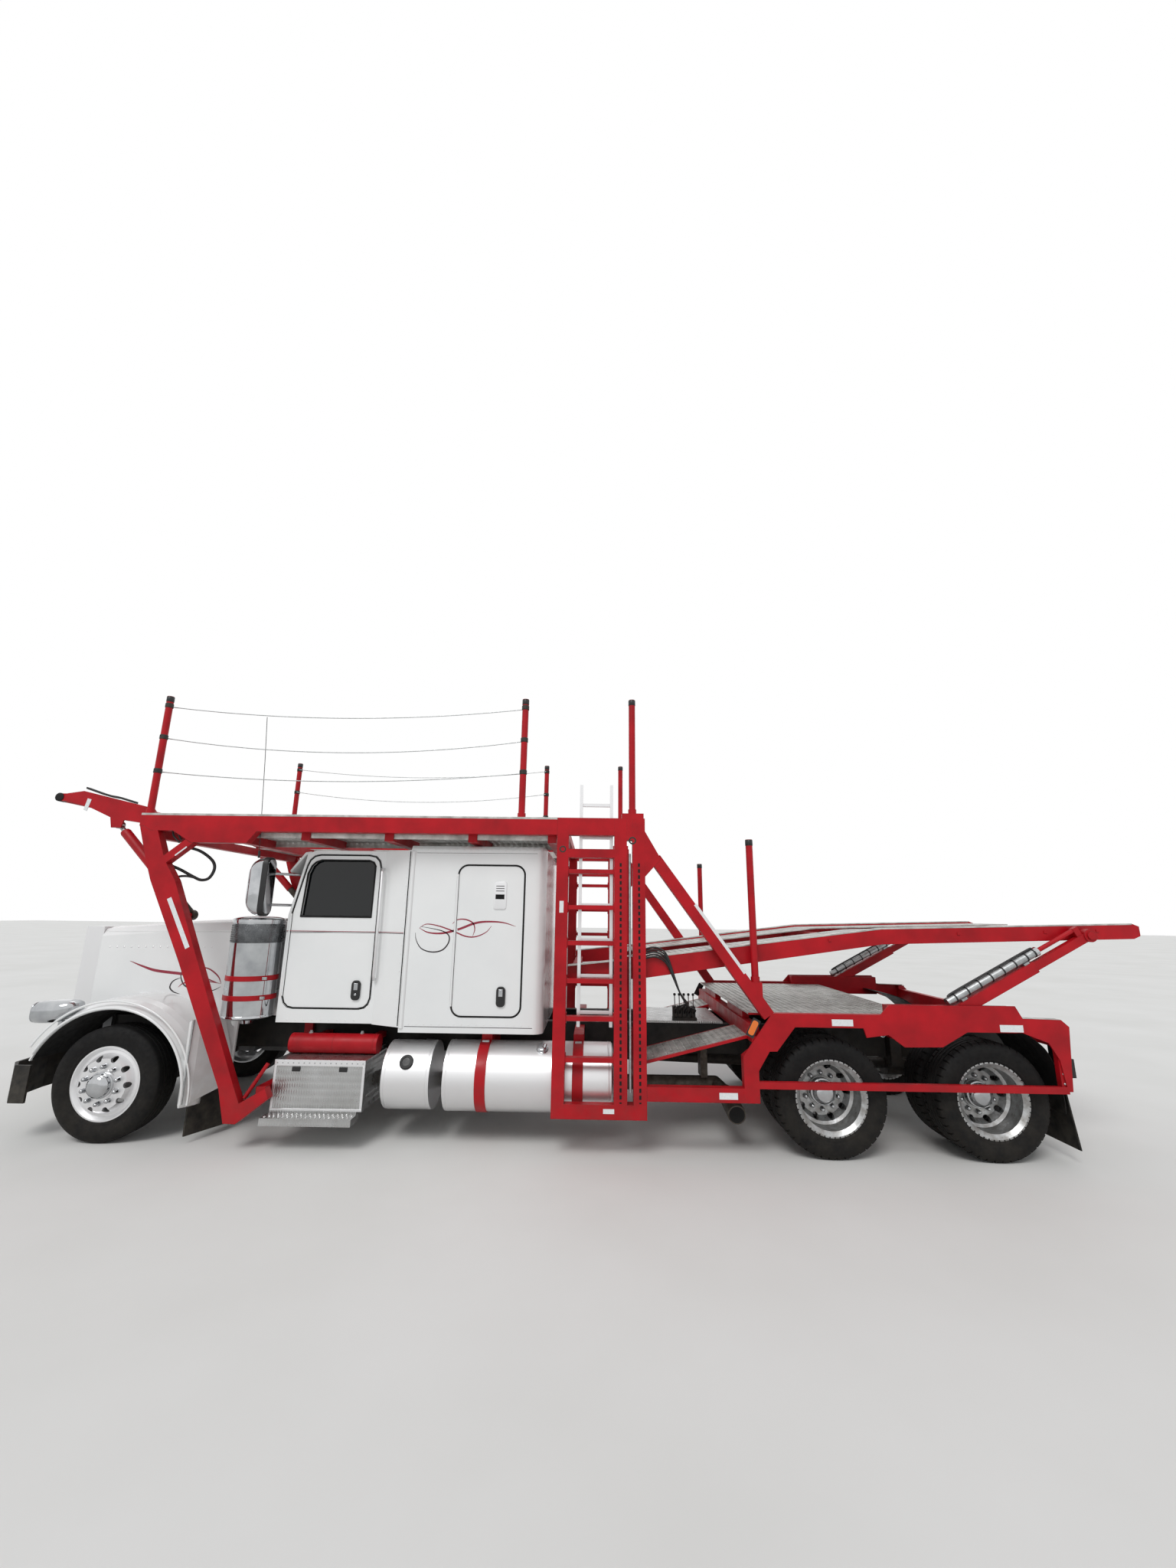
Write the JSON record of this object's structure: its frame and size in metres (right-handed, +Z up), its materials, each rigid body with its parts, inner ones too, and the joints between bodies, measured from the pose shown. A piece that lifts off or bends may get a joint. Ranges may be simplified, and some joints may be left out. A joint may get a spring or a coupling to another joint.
{
  "type": "car transporter truck",
  "caption": "Conventional sleeper-cab tractor truck with a car transporter rack over the cab, a tilting nose ramp and a tilting rear deck over twin drive axles.",
  "frame": {"origin": "on the ground under the middle of the truck's length and width", "axes": "+X from the bumper to the tail, +Y to the truck's right-hand side, +Z up"},
  "size_m": [9.813, 2.6, 3.885],
  "materials": {
    "frame_black": "satin black frame paint",
    "rack_red": "gloss red rack paint",
    "hull_white": "gloss white body paint",
    "rubber_black": "black rubber sheet",
    "tyre": "worn black tread rubber",
    "polished_aluminium": "polished wheel aluminium",
    "wheel_grey": "dull wheel aluminium",
    "chrome": "bright chrome",
    "axle_grey": "oily cast iron",
    "engine_grey": "painted castings",
    "glass": "tinted safety glass",
    "trim_grey": "grained dark grey plastic",
    "seat_fabric": "dark woven cloth",
    "tread_aluminium": "raised-pattern aluminium sheet",
    "deck_aluminium": "weathered perforated aluminium",
    "strap_red": "gloss red strap paint",
    "cylinder_silver": "silver cylinder barrel",
    "stake_steel": "red tube paint"
  },
  "bodies": {
    "truck": {"chassis_frame": "frame_black", "front_axle": "axle_grey", "drive_axles": "axle_grey", "engine_block": "engine_grey", "front_bumper": "frame_black", "cab_shell": "hull_white", "windscreen": "glass", "dashboard": "trim_grey", "seats": "seat_fabric", "sleeper_shell": "hull_white", "mirrors": "chrome", "air_cleaners": "chrome", "fuel_tanks": "polished_aluminium", "tank_straps": "strap_red", "step_boxes": "tread_aluminium", "air_tanks": "rack_red", "exhaust": "chrome", "top_rails": "rack_red", "top_deck": "deck_aluminium", "front_legs": "rack_red", "towers": "rack_red", "side_frames": "rack_red", "over_axle_deck": "deck_aluminium", "stakes": "stake_steel", "ladder": "tread_aluminium", "mud_flaps": "rubber_black", "hitch": "frame_black"},
    "hood": {"hood": "hull_white", "grille": "chrome", "headlamps": "chrome", "front_flaps": "rubber_black"},
    "cab_door_left": {"cab_door_left": "hull_white", "cab_glass_left": "glass"},
    "cab_door_right": {"cab_door_right": "hull_white", "cab_glass_right": "glass"},
    "sleeper_door_left": {"sleeper_door_left": "hull_white"},
    "sleeper_door_right": {"sleeper_door_right": "hull_white"},
    "knuckle_left": {"knuckle_left": "axle_grey"},
    "knuckle_right": {"knuckle_right": "axle_grey"},
    "tie_rod": {"tie_rod": "axle_grey"},
    "front_wheel_left": {"front_tyre_left": "tyre", "front_rim_left": "polished_aluminium"},
    "front_wheel_right": {"front_tyre_right": "tyre", "front_rim_right": "polished_aluminium"},
    "nose_ramp": {"nose_ramp": "rack_red"},
    "nose_barrels": {"nose_barrels": "rack_red"},
    "nose_rods": {"nose_rods": "chrome"},
    "rear_deck": {"deck_rails": "rack_red", "deck_plates": "deck_aluminium"},
    "strut_tubes": {"strut_tubes": "rack_red", "strut_barrels": "cylinder_silver"},
    "strut_uppers": {"strut_uppers": "chrome"},
    "rear_wheels_left_1": {"rear_tyres_left_1": "tyre", "rear_rims_left_1": "wheel_grey"},
    "rear_wheels_left_2": {"rear_tyres_left_2": "tyre", "rear_rims_left_2": "wheel_grey"},
    "rear_wheels_right_1": {"rear_tyres_right_1": "tyre", "rear_rims_right_1": "wheel_grey"},
    "rear_wheels_right_2": {"rear_tyres_right_2": "tyre", "rear_rims_right_2": "wheel_grey"}
  },
  "joints": [
    {"name": "steer_left", "type": "hinge", "parent": "truck", "child": "knuckle_left", "pos_m": [-3.9615, -0.87, 0.46], "axis": [0, 0, 1], "range_deg": [-35, 35]},
    {"name": "steer_right", "type": "hinge", "parent": "truck", "child": "knuckle_right", "pos_m": [-3.9615, 0.87, 0.46], "axis": [0, 0, 1], "range_deg": [-35, 35]},
    {"name": "tie_rod_pivot", "type": "hinge", "parent": "knuckle_left", "child": "tie_rod", "pos_m": [-3.7715, -0.8, 0.423], "axis": [0, 0, 1], "range_deg": [-36, 36]},
    {"name": "front_wheel_spin_left", "type": "hinge", "parent": "knuckle_left", "child": "front_wheel_left", "pos_m": [-3.9615, -1.022, 0.46], "axis": [0, 1, 0], "continuous": true},
    {"name": "front_wheel_spin_right", "type": "hinge", "parent": "knuckle_right", "child": "front_wheel_right", "pos_m": [-3.9615, 1.022, 0.46], "axis": [0, 1, 0], "continuous": true},
    {"name": "rear_wheel_spin_left_1", "type": "hinge", "parent": "truck", "child": "rear_wheels_left_1", "pos_m": [2.1335, -0.919, 0.46], "axis": [0, 1, 0], "continuous": true},
    {"name": "rear_wheel_spin_left_2", "type": "hinge", "parent": "truck", "child": "rear_wheels_left_2", "pos_m": [3.4545, -0.919, 0.46], "axis": [0, 1, 0], "continuous": true},
    {"name": "rear_wheel_spin_right_1", "type": "hinge", "parent": "truck", "child": "rear_wheels_right_1", "pos_m": [2.1335, 0.919, 0.46], "axis": [0, 1, 0], "continuous": true},
    {"name": "rear_wheel_spin_right_2", "type": "hinge", "parent": "truck", "child": "rear_wheels_right_2", "pos_m": [3.4545, 0.919, 0.46], "axis": [0, 1, 0], "continuous": true},
    {"name": "hood_tilt", "type": "hinge", "parent": "truck", "child": "hood", "pos_m": [-4.7415, 0, 0.62], "axis": [0, -1, 0], "range_deg": [0, 25]},
    {"name": "cab_door_swing_left", "type": "hinge", "parent": "truck", "child": "cab_door_left", "pos_m": [-2.6315, -0.972, 1.7], "axis": [0, 0, -1], "range_deg": [0, 65]},
    {"name": "sleeper_door_swing_left", "type": "hinge", "parent": "truck", "child": "sleeper_door_left", "pos_m": [-1.0785, -1.102, 1.7], "axis": [0, 0, -1], "range_deg": [0, 70]},
    {"name": "cab_door_swing_right", "type": "hinge", "parent": "truck", "child": "cab_door_right", "pos_m": [-2.6315, 0.972, 1.7], "axis": [0, 0, 1], "range_deg": [0, 65]},
    {"name": "sleeper_door_swing_right", "type": "hinge", "parent": "truck", "child": "sleeper_door_right", "pos_m": [-1.0785, 1.102, 1.7], "axis": [0, 0, 1], "range_deg": [0, 70]},
    {"name": "nose_tilt", "type": "hinge", "parent": "truck", "child": "nose_ramp", "pos_m": [-3.9315, 0, 2.715], "axis": [0, 1, 0], "range_deg": [-15, 30]},
    {"name": "nose_cylinder_swing", "type": "hinge", "parent": "truck", "child": "nose_barrels", "pos_m": [-3.4415, 0, 1.86], "axis": [0, 1, 0], "range_deg": [-2.66, 5.32]},
    {"name": "nose_rod_slide", "type": "slide", "parent": "nose_barrels", "child": "nose_rods", "axis": [-0.7049, 0, 0.7093], "range_m": [-0.06047, 0.12095]},
    {"name": "rear_deck_tilt", "type": "hinge", "parent": "truck", "child": "rear_deck", "pos_m": [0.4735, 0, 1.47], "axis": [0, -1, 0], "range_deg": [-3, 8]},
    {"name": "strut_swing", "type": "hinge", "parent": "truck", "child": "strut_tubes", "pos_m": [3.0585, 0, 1.08], "axis": [0, -1, 0], "range_deg": [-6.72, 17.92]},
    {"name": "strut_slide", "type": "slide", "parent": "strut_tubes", "child": "strut_uppers", "axis": [0.8851, 0, 0.4655], "range_m": [-0.09132, 0.24352]}
  ],
  "couplings": [
    {"joint": "steer_right", "follows": "steer_left", "ratio": 1},
    {"joint": "tie_rod_pivot", "follows": "steer_left", "ratio": -1},
    {"joint": "nose_cylinder_swing", "follows": "nose_tilt", "ratio": 0.17382},
    {"joint": "nose_rod_slide", "follows": "nose_tilt", "m_per_rad": 0.22646},
    {"joint": "strut_swing", "follows": "rear_deck_tilt", "ratio": 2.1963},
    {"joint": "strut_slide", "follows": "rear_deck_tilt", "m_per_rad": 1.7099}
  ]
}
